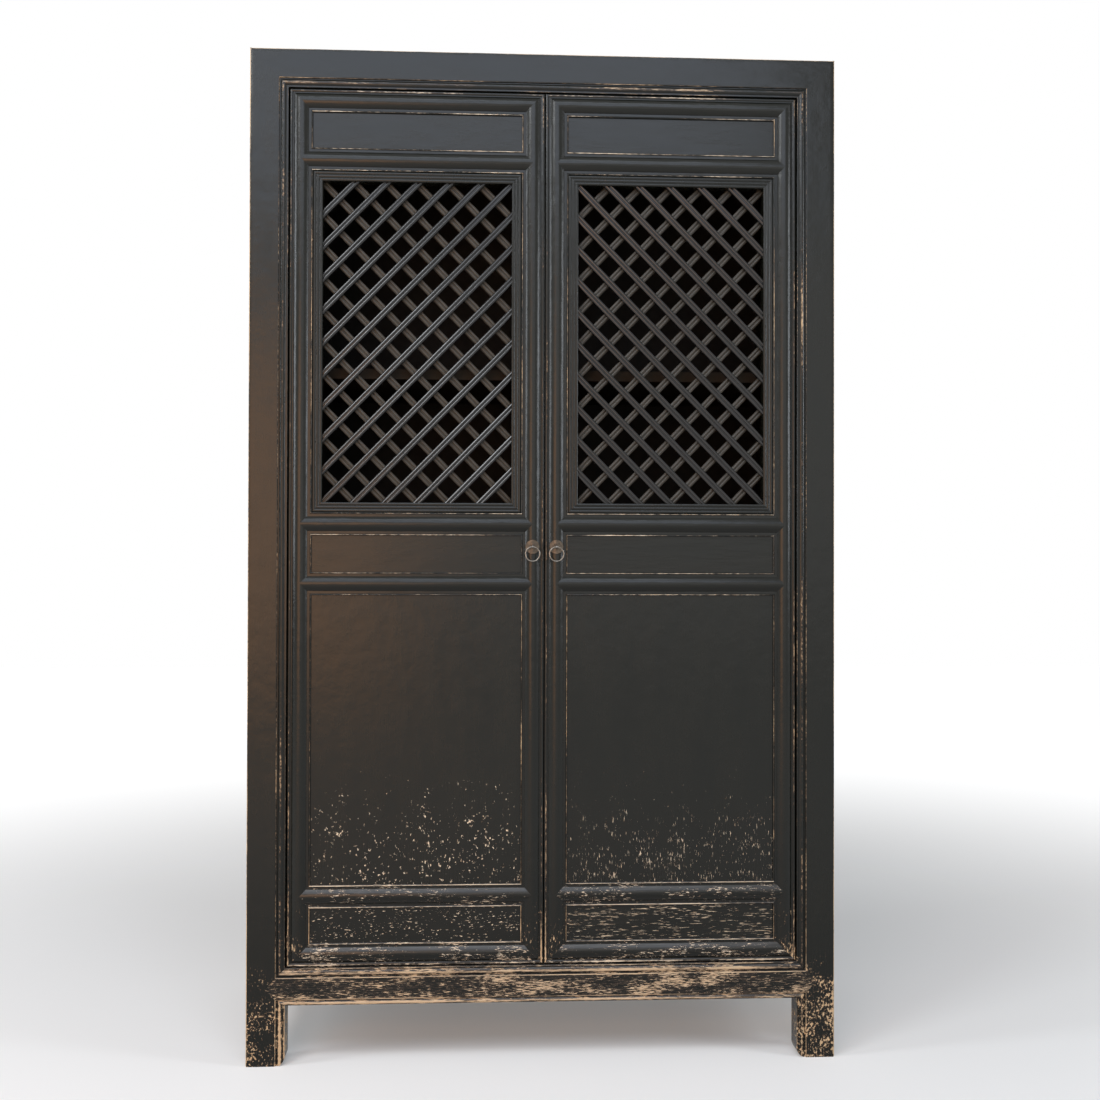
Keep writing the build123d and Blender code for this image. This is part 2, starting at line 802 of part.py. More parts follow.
def pull_ring(side):
    """The ring that hangs in the cotter's eye."""
    centre_x = at_door(side, meeting_crown)
    with BuildPart() as ring:
        with BuildSketch(Plane.YZ.offset(centre_x)):
            with Locations((eye_y, pull_z)):
                RegularPolygon(ring_wire, wire_sides)
        revolve(axis=Axis((centre_x, eye_y, pull_z - ring_radius), (0, 1, 0)))
    return ring.part


# ---- Build ----

write(front_top_rail(), "front_top_rail")
write(rear_top_rail(), "rear_top_rail")
write(front_bottom_rail(), "front_bottom_rail")
write(rear_bottom_rail(), "rear_bottom_rail")
write(back_muntin(), "back_muntin")
write(top_panel(), "top_panel")
write(bottom_board(), "bottom_board")
write(shelf_board(upper_shelf_z), "upper_shelf")
write(shelf_board(lower_shelf_z), "lower_shelf")
write(door_stops(), "door_stops")

for hand, side in (("left", -1), ("right", 1)):
    write(front_post(side), "front_post_" + hand)
    write(rear_post(side), "rear_post_" + hand)
    write(side_top_rail(side), "side_top_rail_" + hand)
    write(side_bottom_rail(side), "side_bottom_rail_" + hand)
    write(side_panel(side), "side_panel_" + hand)
    write(back_panel(side), "back_panel_" + hand)
    write(shelf_bearers(side), "shelf_bearers_" + hand)

    write(stile(side, True), "hinge_stile_" + hand)
    write(stile(side, False), "meeting_stile_" + hand)
    write(end_rail(side, True), "top_rail_" + hand)
    write(end_rail(side, False), "bottom_rail_" + hand)
    for name, centre in middle_rails.items():
        write(middle_rail(side, centre), name + "_" + hand)
    for name in panel_zones:
        write(door_panel_sheet(side, name), name + "_" + hand)
    write(lattice_sash(side), "lattice_sash_" + hand)
    write(lattice_bars(side, bar_front, -side), "lattice_front_bars_" + hand)
    write(lattice_bars(side, bar_front + bar_depth + layer_gap, side), "lattice_rear_bars_" + hand)
    write(pull_plate(side), "pull_plate_" + hand)
    write(pull_cotter(side), "pull_cotter_" + hand)
    write(pull_ring(side), "pull_ring_" + hand)
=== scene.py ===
import math

import bpy
import numpy as np
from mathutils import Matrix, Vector


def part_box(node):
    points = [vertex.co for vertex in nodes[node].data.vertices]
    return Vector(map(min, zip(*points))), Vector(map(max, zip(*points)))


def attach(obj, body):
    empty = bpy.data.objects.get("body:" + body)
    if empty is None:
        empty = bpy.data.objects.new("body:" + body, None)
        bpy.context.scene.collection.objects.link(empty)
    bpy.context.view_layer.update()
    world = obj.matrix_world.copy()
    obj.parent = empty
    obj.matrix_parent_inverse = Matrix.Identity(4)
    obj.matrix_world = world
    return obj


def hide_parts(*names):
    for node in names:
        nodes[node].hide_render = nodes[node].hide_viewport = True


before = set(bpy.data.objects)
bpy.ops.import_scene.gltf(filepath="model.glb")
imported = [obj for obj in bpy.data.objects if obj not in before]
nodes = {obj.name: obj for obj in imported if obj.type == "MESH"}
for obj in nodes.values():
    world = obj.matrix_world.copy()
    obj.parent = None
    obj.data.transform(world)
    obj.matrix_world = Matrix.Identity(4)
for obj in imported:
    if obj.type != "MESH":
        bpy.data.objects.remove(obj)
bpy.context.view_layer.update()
hands = ("left", "right")
madePieces = []

# angle in degrees from which an edge stays sharp, length in mm of the worn tips of a member, and the power of
# its height by which a bead's wear falls off from its crown
carving = {"sharpAngle": 32, "tipLength": 1.3, "beadFalloff": 1.3}


def gridFaces(rows, ring, joined):
    # quads between neighbouring rows of points; open ends are closed by quads between the front and the back
    # of the outline
    r = np.arange(rows if joined else rows - 1)[:, None]
    c = np.arange(ring)[None, :]
    nextRow = (r + 1) % rows * ring
    nextPoint = (c + 1) % ring
    quads = np.stack([r * ring + c, r * ring + nextPoint, nextRow + nextPoint, nextRow + c], -1)
    quads = quads.reshape(-1, 4)
    if not joined:
        i = np.arange(ring // 2 - 1)
        cap = np.stack([i, ring - 1 - i, ring - 2 - i, i + 1], -1)
        quads = np.concatenate([quads, cap, (rows - 1) * ring + cap[:, ::-1]])
    return quads


def outward(points, quads):
    # a closed surface that faces inwards has a negative volume: the sum over its triangles of (a x b) . c / 6
    a, b, c, d = (points[quads[:, k]] for k in range(4))
    volume = (np.cross(a, b) * c).sum() + (np.cross(a, c) * d).sum()
    return quads if volume > 0 else quads[:, ::-1]


def addPiece(name, parts, material, body, replaced, strands=None):
    # parts: (grid of points in mm, grid of wear from 0 to 1, whether the rows join up to a loop)
    # strands: for each part, a grid of (across, along, number) in mm that the grain of slanting bars follows
    allPoints, allWear, allFaces, count = [], [], [], 0
    for grid, wear, joined in parts:
        points = grid.reshape(-1, 3) / 1000
        faces = outward(points, gridFaces(grid.shape[0], grid.shape[1], joined))
        allPoints.append(points)
        allWear.append(wear.reshape(-1))
        allFaces.append(faces + count)
        count += len(points)
    mesh = bpy.data.meshes.new(name)
    mesh.from_pydata(np.concatenate(allPoints).tolist(), [], np.concatenate(allFaces).tolist())
    worn = mesh.attributes.new("wear", "FLOAT", "POINT")
    worn.data.foreach_set("value", np.concatenate(allWear).astype(np.float32))
    if strands:
        strand = mesh.attributes.new("strand", "FLOAT_VECTOR", "POINT")
        followed = np.concatenate([g.reshape(-1) for g in strands]).astype(np.float32)
        strand.data.foreach_set("vector", followed / 1000)
    mesh.shade_smooth()
    mesh.set_sharp_from_angle(angle=math.radians(carving["sharpAngle"]))
    mesh.materials.append(material)
    piece = bpy.data.objects.new(name, mesh)
    bpy.context.scene.collection.objects.link(piece)
    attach(piece, body)
    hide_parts(replaced)
    madePieces.append(name)


def bead(start, end, edge, crown, count, wear):
    # points over a strip: depth is a parabola, edge at both sides and crown in the middle, and wear is the
    # parabola's height to the power beadFalloff
    t = np.linspace(0, 1, count)
    bulge = 4 * t * (1 - t)
    return np.column_stack([start + (end - start) * t, edge + (crown - edge) * bulge,
                            wear * bulge ** carving["beadFalloff"]])


def carry(outline, stations, place, tips=0):
    # the outline (across, depth, wear) runs along the front and returns flat along the back. Each station
    # says how far along the member every point of it lies, and how deep. Both ends are worn by tips at least
    if tips:
        (start, startDepth), (end, endDepth) = stations[0], stations[-1]
        tipLength = carving["tipLength"]
        stations = [stations[0], (start + tipLength, startDepth), *stations[1:-1],
                    (end - tipLength, endDepth), stations[-1]]
    across = np.concatenate([outline[:, 0], outline[::-1, 0]])
    along = np.stack([s[0] for s in stations])
    depth = np.stack([s[1] for s in stations])
    grid = np.stack(place(np.broadcast_to(across, along.shape), depth, along), -1)
    wear = np.tile(np.concatenate([outline[:, 2], 0 * outline[:, 2]]), (len(stations), 1))
    wear[[0, -1], :len(outline)] = np.maximum(wear[[0, -1], :len(outline)], tips)
    return grid, wear, False


def fullOutline(outline, back):
    # across and depth of every point of the closed outline
    across = np.concatenate([outline[:, 0], outline[::-1, 0]])
    depth = np.concatenate([outline[:, 1], np.full(len(outline), back)])
    return across, depth


def toLinear(hexColour):
    # sRGB hex to linear red, green, blue and alpha: divided by 12.92 in the dark part, and above it
    # ((value + 0.055) / 1.055) to the power 2.4
    srgb = np.array([int(hexColour[k:k + 2], 16) for k in (1, 3, 5)]) / 255
    linear = np.where(srgb <= 0.04045, srgb / 12.92, ((srgb + 0.055) / 1.055) ** 2.4)
    return (*linear.tolist(), 1.0)


def addNode(tree, kind, links, **settings):
    # a node with its settings: inputs are linked to the sockets in links, or set to the values there
    node = tree.nodes.new(kind)
    for key, value in settings.items():
        setattr(node, key, value)
    for socket, source in links.items():
        if isinstance(source, bpy.types.NodeSocket):
            tree.links.new(source, node.inputs[socket])
        else:
            node.inputs[socket].default_value = source
    return node.outputs


def stretched(width, length, axis):
    # Mapping scale for a pattern of this width that is drawn out to this length along one axis, both in mm
    scale = [1000 / width] * 3
    scale["XYZ".index(axis)] = 1000 / length
    return scale


def agedLacquer(name, look):
    # black lacquer brushed over softwood in thin coats: dull gloss with faint brush lines, and rubbed through
    # to bare wood on beads, on edges and in chips that crowd towards the floor
    material = bpy.data.materials.new(name)
    material.use_nodes = True
    tree = material.node_tree
    tree.nodes.clear()
    place = addNode(tree, "ShaderNodeTexCoord", {})["Object"]
    spot = addNode(tree, "ShaderNodeSeparateXYZ", {0: place})
    if look["strands"]:
        place = addNode(tree, "ShaderNodeAttribute", {}, attribute_name="strand")["Vector"]
    # brush lines, chips, the patches that chips gather in and long clouds of wear, drawn out along the grain
    patterns = []
    for kind in ("brush", "chip", "patch", "cloud"):
        scale = stretched(look[kind + "Width"], look[kind + "Length"], look["grain"])
        drawn = addNode(tree, "ShaderNodeMapping", {"Vector": place, "Scale": scale})[0]
        patterns.append(addNode(tree, "ShaderNodeTexNoise",
                                {"Vector": drawn, "Scale": 1, "Detail": look[kind + "Detail"],
                                 "Roughness": look[kind + "Rough"]})[0])
    brush, chips, patches, clouds = patterns
    worn = addNode(tree, "ShaderNodeAttribute", {}, attribute_name="wear")["Fac"]

    # how worn: more towards the floor, more still at the very bottom, and more to one side
    lower, floor = [addNode(tree, "ShaderNodeMapRange",
                            {"Value": spot["Z"], "From Min": look[part + "Top"] / 1000,
                             "From Max": look[part + "Full"] / 1000,
                             "To Min": 0, "To Max": look[part + "Gain"]},
                            interpolation_type="SMOOTHSTEP")[0] for part in ("lower", "floor")]
    deep = addNode(tree, "ShaderNodeMath", {0: lower, 1: floor}, operation="ADD")[0]
    sided = addNode(tree, "ShaderNodeMath", {0: spot["X"], 1: look["sideGain"], 2: 1},
                    operation="MULTIPLY_ADD")[0]
    deep = addNode(tree, "ShaderNodeMath", {0: deep, 1: sided}, operation="MULTIPLY")[0]
    # chips: fine noise that breaks through where the patches gather them; edges: the wear of the form, broken
    # up by the long clouds. Each field is measured from the level at which the coat is gone
    clustered = addNode(tree, "ShaderNodeMath", {0: patches, 1: look["cluster"], 2: deep},
                        operation="MULTIPLY_ADD")[0]
    chipField = addNode(tree, "ShaderNodeMath", {0: chips, 1: clustered}, operation="ADD")[0]
    chipField = addNode(tree, "ShaderNodeMath", {0: chipField, 1: look["chipLevel"]}, operation="SUBTRACT")[0]
    low = addNode(tree, "ShaderNodeMath", {0: deep, 1: look["edgeDeep"]}, operation="MULTIPLY")[0]
    edgeField = addNode(tree, "ShaderNodeMath", {0: worn, 1: look["edgeGain"], 2: low},
                        operation="MULTIPLY_ADD")[0]
    for pattern, share in ((clouds, look["edgeClouds"]), (chips, look["edgeChips"])):
        edgeField = addNode(tree, "ShaderNodeMath", {0: pattern, 1: share, 2: edgeField},
                            operation="MULTIPLY_ADD")[0]
    edgeField = addNode(tree, "ShaderNodeMath", {0: edgeField, 1: look["edgeLevel"]}, operation="SUBTRACT")[0]
    chipped, rubbed = [
        addNode(tree, "ShaderNodeMapRange", {"Value": field, "From Min": 0, "From Max": soft})[0]
        for field, soft in ((chipField, look["bareSoft"]), (edgeField, look["edgeSoft"]))]
    bare = addNode(tree, "ShaderNodeMath", {0: chipped, 1: rubbed}, operation="MAXIMUM")[0]
    # the coat thins in streaks around the bare places; the brush noise's mean is a half
    field = addNode(tree, "ShaderNodeMath", {0: chipField, 1: edgeField}, operation="MAXIMUM")[0]
    streaked = addNode(tree, "ShaderNodeMath", {0: brush, 1: look["thinStreaks"], 2: field},
                       operation="MULTIPLY_ADD")[0]
    thin = addNode(tree, "ShaderNodeMapRange",
                   {"Value": streaked, "From Min": look["thinStreaks"] * 0.5 - look["thinReach"],
                    "From Max": look["thinStreaks"] * 0.5})[0]

    coat = addNode(tree, "ShaderNodeMix",
                   {0: clouds, 6: toLinear(look["lacquer"]), 7: toLinear(look["faded"])}, data_type="RGBA")[2]
    thinned = addNode(tree, "ShaderNodeMix", {0: thin, 6: coat, 7: toLinear(look["thinLacquer"])},
                      data_type="RGBA")[2]
    wood = addNode(tree, "ShaderNodeMix",
                   {0: brush, 6: toLinear(look["woodDark"]), 7: toLinear(look["wood"])}, data_type="RGBA")[2]
    if look["paleDustAndHighlight"]:
        # pale dust and scuffs on slopes that face up, low down where feet and brooms pass; the paler colour
        # there is also a painted highlight of the light from above
        normal = addNode(tree, "ShaderNodeNewGeometry", {})["Normal"]
        upward = addNode(tree, "ShaderNodeSeparateXYZ", {0: normal})["Z"]
        paleDustAndHighlightAmount = addNode(tree, "ShaderNodeMath", {0: brush, 1: 2 * look["paleDustAndHighlight"]}, operation="MULTIPLY")[0]
        for value, none, full in ((upward, look["paleDustAndHighlightSlope"], look["paleDustAndHighlightLedge"]),
                                  (spot["Z"], look["paleDustAndHighlightTop"] / 1000, look["paleDustAndHighlightFull"] / 1000)):
            share = addNode(tree, "ShaderNodeMapRange",
                            {"Value": value, "From Min": none, "From Max": full})[0]
            paleDustAndHighlightAmount = addNode(tree, "ShaderNodeMath", {0: paleDustAndHighlightAmount, 1: share}, operation="MULTIPLY")[0]
        thinned = addNode(tree, "ShaderNodeMix", {0: paleDustAndHighlightAmount, 6: thinned, 7: toLinear(look["paleDustAndHighlightColour"])},
                          data_type="RGBA")[2]
    colour = addNode(tree, "ShaderNodeMix", {0: bare, 6: thinned, 7: wood}, data_type="RGBA")[2]
    roughness = look["gloss"]
    for pattern, share in ((brush, look["brushDull"]), (patches, look["mottle"]), (clouds, look["mottle"]),
                           (bare, look["bareDull"])):
        roughness = addNode(tree, "ShaderNodeMath", {0: pattern, 1: share, 2: roughness},
                            operation="MULTIPLY_ADD")[0]

    # relief in mm: bare places lie lower, with brush lines and a slow ripple left in the coat
    relief = addNode(tree, "ShaderNodeMath", {0: patches, 1: look["ripple"]}, operation="MULTIPLY")[0]
    for pattern, rise in ((brush, look["lines"]), (bare, -look["chipDepth"])):
        relief = addNode(tree, "ShaderNodeMath", {0: pattern, 1: rise, 2: relief},
                         operation="MULTIPLY_ADD")[0]
    normal = addNode(tree, "ShaderNodeBump", {"Height": relief, "Distance": 0.001, "Strength": 1})[0]
    shader = addNode(tree, "ShaderNodeBsdfPrincipled",
                     {"Base Color": colour, "Roughness": roughness, "Specular IOR Level": look["sheen"],
                      "Normal": normal})[0]
    addNode(tree, "ShaderNodeOutputMaterial", {"Surface": shader})
    return material


# widths, lengths, heights and depths in mm; the rest are shares. Chips show where their noise, the share of
# the patches and the gain towards the floor add up past chipLevel; edges show where theirs pass edgeLevel
lacquerLook = {
    "grain": "Z", "strands": False, "lacquer": "#0c0f0c", "faded": "#151510", "thinLacquer": "#46372a",
    "wood": "#d6bd9a", "woodDark": "#a38763",
    "brushWidth": 2.2, "brushLength": 60, "brushDetail": 3, "brushRough": 0.6,
    "chipWidth": 4.5, "chipLength": 6, "chipDetail": 9, "chipRough": 0.68,
    "patchWidth": 38, "patchLength": 38, "patchDetail": 3, "patchRough": 0.55,
    "cloudWidth": 45, "cloudLength": 220, "cloudDetail": 3, "cloudRough": 0.6,
    "lowerTop": 500, "lowerFull": 200, "lowerGain": 0.09, "floorTop": 230, "floorFull": 110,
    "floorGain": 0.155, "sideGain": 0.1, "cluster": 0.42, "chipLevel": 1.02, "bareSoft": 0.02,
    "edgeGain": 0.55, "edgeClouds": 0.8, "edgeChips": 0.6, "edgeDeep": 0.6, "edgeLevel": 1.185,
    "edgeSoft": 0.13, "thinReach": 0.05, "thinStreaks": 0.1,
    # pale colour on slopes that face up, low down: dust and also a painted highlight, off where its share is 0
    "paleDustAndHighlight": 0, "paleDustAndHighlightColour": "#adadac", "paleDustAndHighlightSlope": 0.2, "paleDustAndHighlightLedge": 0.7, "paleDustAndHighlightTop": 550, "paleDustAndHighlightFull": 300,
    "gloss": 0.1, "brushDull": 0.08, "mottle": 0.12, "bareDull": 0.35, "sheen": 0.25,
    "ripple": 0.9, "lines": 0.05, "chipDepth": 0.15}

uprightLacquer = agedLacquer("black_lacquer_on_posts", lacquerLook)
stileLacquer = agedLacquer("black_lacquer_on_door_stiles", {
    **lacquerLook, "lowerGain": 0.2, "lowerTop": 400, "chipWidth": 2.8, "chipLength": 9})

levelLook = {
    **lacquerLook, "grain": "X", "chipWidth": 1.8, "chipLength": 13, "patchWidth": 18, "patchLength": 65,
    "lowerTop": 650, "lowerFull": 290, "lowerGain": 0.218, "floorTop": 190, "floorFull": 150,
    "floorGain": 0.07, "sideGain": 0.08, "cluster": 0.5, "chipLevel": 1.08, "bareSoft": 0.022,
    # the rails get that pale colour on slopes that face up: dust, and a painted highlight of the light from
    # above
    "thinReach": 0.12, "thinStreaks": 0.5, "paleDustAndHighlight": 0.12, "gloss": 0.06, "thinLacquer": "#362e27",
    "wood": "#dac4a5", "woodDark": "#967b5b"}
levelLacquer = agedLacquer("black_lacquer_on_rails", levelLook)
# the door rails' rounded faces are chipped more sharply, down to paler wood
doorRailLacquer = agedLacquer("black_lacquer_on_door_rails", {
    **levelLook, "chipWidth": 2.0, "chipLength": 10, "chipDetail": 6, "bareSoft": 0.014, "thinReach": 0.08,
    "thinStreaks": 0.3, "lowerGain": 0.198, "sideGain": -0.15, "wood": "#ebdec8", "woodDark": "#b3a085"})

panelLook = {
    **lacquerLook, "thinLacquer": "#3a332c", "wood": "#eadcc6", "woodDark": "#cbb595", "chipWidth": 4.2,
    "chipDetail": 4, "chipRough": 0.6, "patchWidth": 30, "patchLength": 30, "floorGain": 0.0, "sideGain": 0.0,
    "cluster": 0.25, "chipLevel": 0.93, "bareSoft": 0.015, "thinReach": 0.02, "thinStreaks": 0.02,
    "ripple": 0.6}
panelLacquer = agedLacquer("black_lacquer_on_panels", {
    **panelLook, "lowerTop": 640, "lowerFull": 410, "lowerGain": 0.153})
# the right door's panels were rubbed along the grain, so their chips are finer and longer
scrapedPanelLacquer = agedLacquer("scraped_black_lacquer_on_panels", {
    **panelLook, "lowerTop": 680, "lowerFull": 390, "lowerGain": 0.18, "chipWidth": 1.8, "chipLength": 13,
    "chipDetail": 6, "chipRough": 0.63})
levelPanelLook = {
    **panelLook, "grain": "X", "chipWidth": 2.8, "chipLength": 6.5, "patchWidth": 20, "patchLength": 55,
    "lowerTop": 340, "lowerFull": 280, "lowerGain": 0.17, "bareSoft": 0.014}
levelPanelLacquer = agedLacquer("black_lacquer_on_level_panels", levelPanelLook)
scrapedLevelPanelLacquer = agedLacquer("scraped_black_lacquer_on_level_panels", {
    **levelPanelLook, "chipWidth": 1.4, "chipLength": 17, "chipDetail": 6, "patchWidth": 12,
    "patchLength": 80, "bareSoft": 0.025, "wood": "#e0d1b9", "woodDark": "#b09a7a", "lowerGain": 0.195})

barLook = {
    **lacquerLook, "grain": "Y", "strands": True, "brushWidth": 1.2, "brushLength": 40, "chipWidth": 2.5,
    "chipLength": 18, "patchWidth": 60, "patchLength": 60, "cloudWidth": 25, "cloudLength": 160,
    "ripple": 0.3, "lines": 0.02, "edgeGain": 0.3}
barLacquer = agedLacquer("black_lacquer_on_front_bars", {
    **barLook, "lacquer": "#0e0f0e", "faded": "#191817", "gloss": 0.03, "mottle": 0.05, "sheen": 0.42,
    "lines": 0.01})
rearBarLacquer = agedLacquer("worn_lacquer_on_rear_bars", {
    **barLook, "lacquer": "#171612", "faded": "#464138", "gloss": 0.3, "sheen": 0.3, "lines": 0.1,
    "cloudWidth": 1.8, "cloudLength": 30})

# dull stain that shows the wood's lines, with no coat on its edges to rub through. On the back boards and the
# parts inside, the stain's colours are darkened further as painted shade for the inside of the case
stainLook = {**lacquerLook, "cloudWidth": 12, "gloss": 0.5, "edgeGain": 0.0, "lines": 0.12}
backStainAndPaintedShade = agedLacquer("thin_stain_and_painted_shade_on_softwood", {
    **stainLook, "lacquer": "#100d0a", "faded": "#1d1813", "sheen": 0.15})
insideStainAndPaintedShade = agedLacquer("dark_stain_and_painted_shade_inside", {
    **stainLook, "grain": "X", "lacquer": "#1a150f", "faded": "#2a2218", "lowerGain": 0.0, "floorGain": 0.0,
    "sheen": 0.12})


def agedBrass(name, look):
    # hand-worked brass, cast and hammered, with a brown patina that is rubbed brighter on its high places
    material = bpy.data.materials.new(name)
    material.use_nodes = True
    tree = material.node_tree
    tree.nodes.clear()
    place = addNode(tree, "ShaderNodeTexCoord", {})["Object"]
    spots = addNode(tree, "ShaderNodeTexNoise", {"Vector": place, "Scale": 1000 / look["spotSize"],
                                              "Detail": look["spotDetail"]})[0]
    worn = addNode(tree, "ShaderNodeAttribute", {}, attribute_name="wear")["Fac"]
    rubbed = addNode(tree, "ShaderNodeMath", {0: worn, 1: look["rubbed"], 2: spots},
                     operation="MULTIPLY_ADD")[0]
    bright = addNode(tree, "ShaderNodeMapRange", {"Value": rubbed, "From Min": look["brownBelow"],
                                                  "From Max": look["brightAbove"]})[0]
    colour = addNode(tree, "ShaderNodeMix",
                     {0: bright, 6: toLinear(look["patina"]), 7: toLinear(look["metal"])},
                     data_type="RGBA")[2]
    roughness = addNode(tree, "ShaderNodeMapRange",
                        {"Value": bright, "To Min": look["dull"], "To Max": look["polished"]})[0]
    normal = addNode(tree, "ShaderNodeBump",
                     {"Height": spots, "Distance": look["hammerDepth"] / 1000, "Strength": 1})[0]
    shader = addNode(tree, "ShaderNodeBsdfPrincipled",
                     {"Base Color": colour, "Metallic": look["metallic"], "Roughness": roughness,
                      "Normal": normal})[0]
    addNode(tree, "ShaderNodeOutputMaterial", {"Surface": shader})
    return material


# spot size and hammer depth in mm
brassLook = {"spotDetail": 4, "brownBelow": 0.45, "brightAbove": 0.95, "hammerDepth": 0.2}
ringBrass = agedBrass("aged_brass_wire", {
    **brassLook, "patina": "#403c36", "metal": "#78736c", "spotSize": 3, "rubbed": 0.5, "dull": 0.42,
    "polished": 0.25, "metallic": 1.0})
plateBrass = agedBrass("lacquered_brass_plate", {
    **brassLook, "patina": "#2c2721", "metal": "#5d5245", "spotSize": 4, "rubbed": 0.3, "dull": 0.55,
    "polished": 0.4, "metallic": 0.6})
print("materials made")


# widths across a member and depths from its crown in mm, then numbers of points across the rounded parts,
# then wear, where 1 is a line rubbed bare
doorWood = {"bead": 3, "band": 5, "beadEdge": 6.2, "beadCrown": 5.2, "flat": 7, "pillowEdge": 6, "groove": 2,
            "edgeSide": 6.6, "edgeCrown": 5.6, "shoulder": 9, "thickness": 34,
            "notchGap": 0.05, "notchFloorGap": 0.04, "notchTaper": 0.98,
            "beadPoints": 5, "pillowPoints": 19, "edgePoints": 7,
            "pillowWear": 0.3, "arrisWear": 0.55, "beadWear": 1.06, "frameBeadWear": 0.97, "underWear": 1.0,
            "edgeWear": 0.8, "mitreWear": 0.5}


def doorFront(memberWidth, edged, firstWear):
    # across a door member from the panel outwards: fine bead, flat band, rounded face, then a groove and the
    # door's edge bead, or the same band and bead again. The walls of the grooves lean by a tenth or two of a mm
    w = doorWood
    start = w["bead"] + w["band"]
    end = memberWidth - start
    sides = np.array([[0, w["shoulder"], 0], [0, w["beadEdge"] + 0.4, 0]])
    first = bead(0.15, w["bead"] - 0.1, w["beadEdge"], w["beadCrown"], w["beadPoints"], firstWear)
    band = np.array([[w["bead"], w["flat"], 0], [start - 0.2, w["flat"], 0]])
    face = bead(start, end, w["pillowEdge"], 0, w["pillowPoints"], w["pillowWear"])
    face[[0, -1], 2] = w["arrisWear"]
    if edged:
        last = np.array([[end + 0.2, w["flat"], 0], [end + w["groove"], w["flat"], 0]])
        edge = bead(end + w["groove"] + 0.1, memberWidth - 0.15, w["edgeSide"], w["edgeCrown"],
                    w["edgePoints"], w["edgeWear"])
    else:
        last = band[::-1] * (-1, 1, 1) + (memberWidth, 0, 0)
        edge = bead(memberWidth - w["bead"] + 0.1, memberWidth - 0.15, w["beadEdge"], w["beadCrown"],
                    w["beadPoints"], w["beadWear"])
    closing = np.array([[memberWidth, edge[-1, 1] + 0.4, 0], [memberWidth, w["shoulder"], 0]])
    return np.concatenate([sides, first, band, face, last, edge, closing])


def notch(across, depth, centre, reach, shoulder):
    # four stations that sink the front of a member under the pointed shoulder of a rail: the notch is as wide
    # as the distance from each point to the notch's tip, and a little narrower at its floor
    half = np.maximum(reach - across, 0)
    sunk = np.where((depth < shoulder) & (half > 0), shoulder, depth)
    rim = half + doorWood["notchGap"]
    floor = half * doorWood["notchTaper"] + doorWood["notchFloorGap"]
    return [(centre - rim, depth), (centre - floor, sunk), (centre + floor, sunk), (centre + rim, depth)]


def doorMember(name, body, material, outline, stations, place):
    # one stile or rail of a door: its outline carried through the stations, and worn at its mitred ends
    addPiece(name + "_wood", [carry(outline, stations, place, doorWood["mitreWear"])], material, body,
             name)


for hand, side in zip(hands, (-1, 1)):
    body = "door_" + hand
    hingeLow, hingeHigh = (v * 1000 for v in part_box("hinge_stile_" + hand))
    meetLow, meetHigh = (v * 1000 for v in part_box("meeting_stile_" + hand))
    doorLow, doorHigh = meetLow.z, meetHigh.z
    frontY = meetLow.y
    outer = max(abs(hingeLow.x), abs(hingeHigh.x))  # distances from the middle of the cabinet
    inner = min(abs(meetLow.x), abs(meetHigh.x))
    memberWidth = meetHigh.x - meetLow.x
    shoulder = doorWood["shoulder"]
    railNames = ["frieze_rail_", "sill_rail_", "waist_rail_", "base_rail_"]
    crowns = [sum(v.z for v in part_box(rail + hand)) / 2 * 1000 for rail in railNames]  # their middle heights

    edged = doorFront(memberWidth, True, doorWood["frameBeadWear"])
    across, depth = fullOutline(edged, doorWood["thickness"])
    front = depth < shoulder
    mitre = np.where(front, memberWidth - across, 0)
    upright = [(doorLow + mitre, depth)]
    for crown in sorted(crowns):
        upright += notch(across, depth, crown, memberWidth / 2, shoulder)
    upright.append((doorHigh - mitre, depth))
    doorMember("hinge_stile_" + hand, body, stileLacquer, edged, upright,
               lambda u, d, t: (side * (outer - memberWidth + u), frontY + d, t))
    doorMember("meeting_stile_" + hand, body, stileLacquer, edged, upright,
               lambda u, d, t: (side * (inner + memberWidth - u), frontY + d, t))

    ends = np.where(front, memberWidth - across, memberWidth)
    level = [(inner + ends, depth), (outer - ends, depth)]
    doorMember("top_rail_" + hand, body, doorRailLacquer, edged, level,
               lambda u, d, t: (side * t, frontY + d, doorHigh - memberWidth + u))
    doorMember("bottom_rail_" + hand, body, doorRailLacquer, edged, level,
               lambda u, d, t: (side * t, frontY + d, doorLow + memberWidth - u))

    plain = doorFront(memberWidth, False, doorWood["underWear"])
    across, depth = fullOutline(plain, doorWood["thickness"])
    ends = np.where(depth < shoulder, memberWidth / 2 + abs(across - memberWidth / 2), memberWidth)
    level = [(inner + ends, depth), (outer - ends, depth)]
    for rail, crown in zip(railNames, crowns):
        doorMember(rail + hand, body, doorRailLacquer, plain, level,
                   lambda u, d, t: (side * t, frontY + d, crown - memberWidth / 2 + u))
print("door frames made")


# ridge: half of a bar's front as (across, depth), from the edge of the middle groove over a narrow crown to
# the bar's side; wearDepth: how far below the crown the lacquer is worn; strandGap: mm from one bar's grain to
# the next one's
lattice = {"reeds": 3, "reedRise": 1.2, "reedWear": 0.45, "reedPoints": 7, "barDepth": 11, "cellsAcross": 6,
           "cellsUp": 10, "barWear": 0.15, "wearDepth": 0.5, "strandGap": 40.0,
           "ridge": ((0.4, 1.7), (0.8, 1.0), (1.2, 0.64), (2.1, 0.2), (2.6, 0.05), (3.0, 0.01), (3.4, 0.05),
                     (3.9, 0.2), (4.8, 0.62), (5.3, 0.92), (5.7, 1.25), (6.0, 1.55), (6.25, 1.9))}

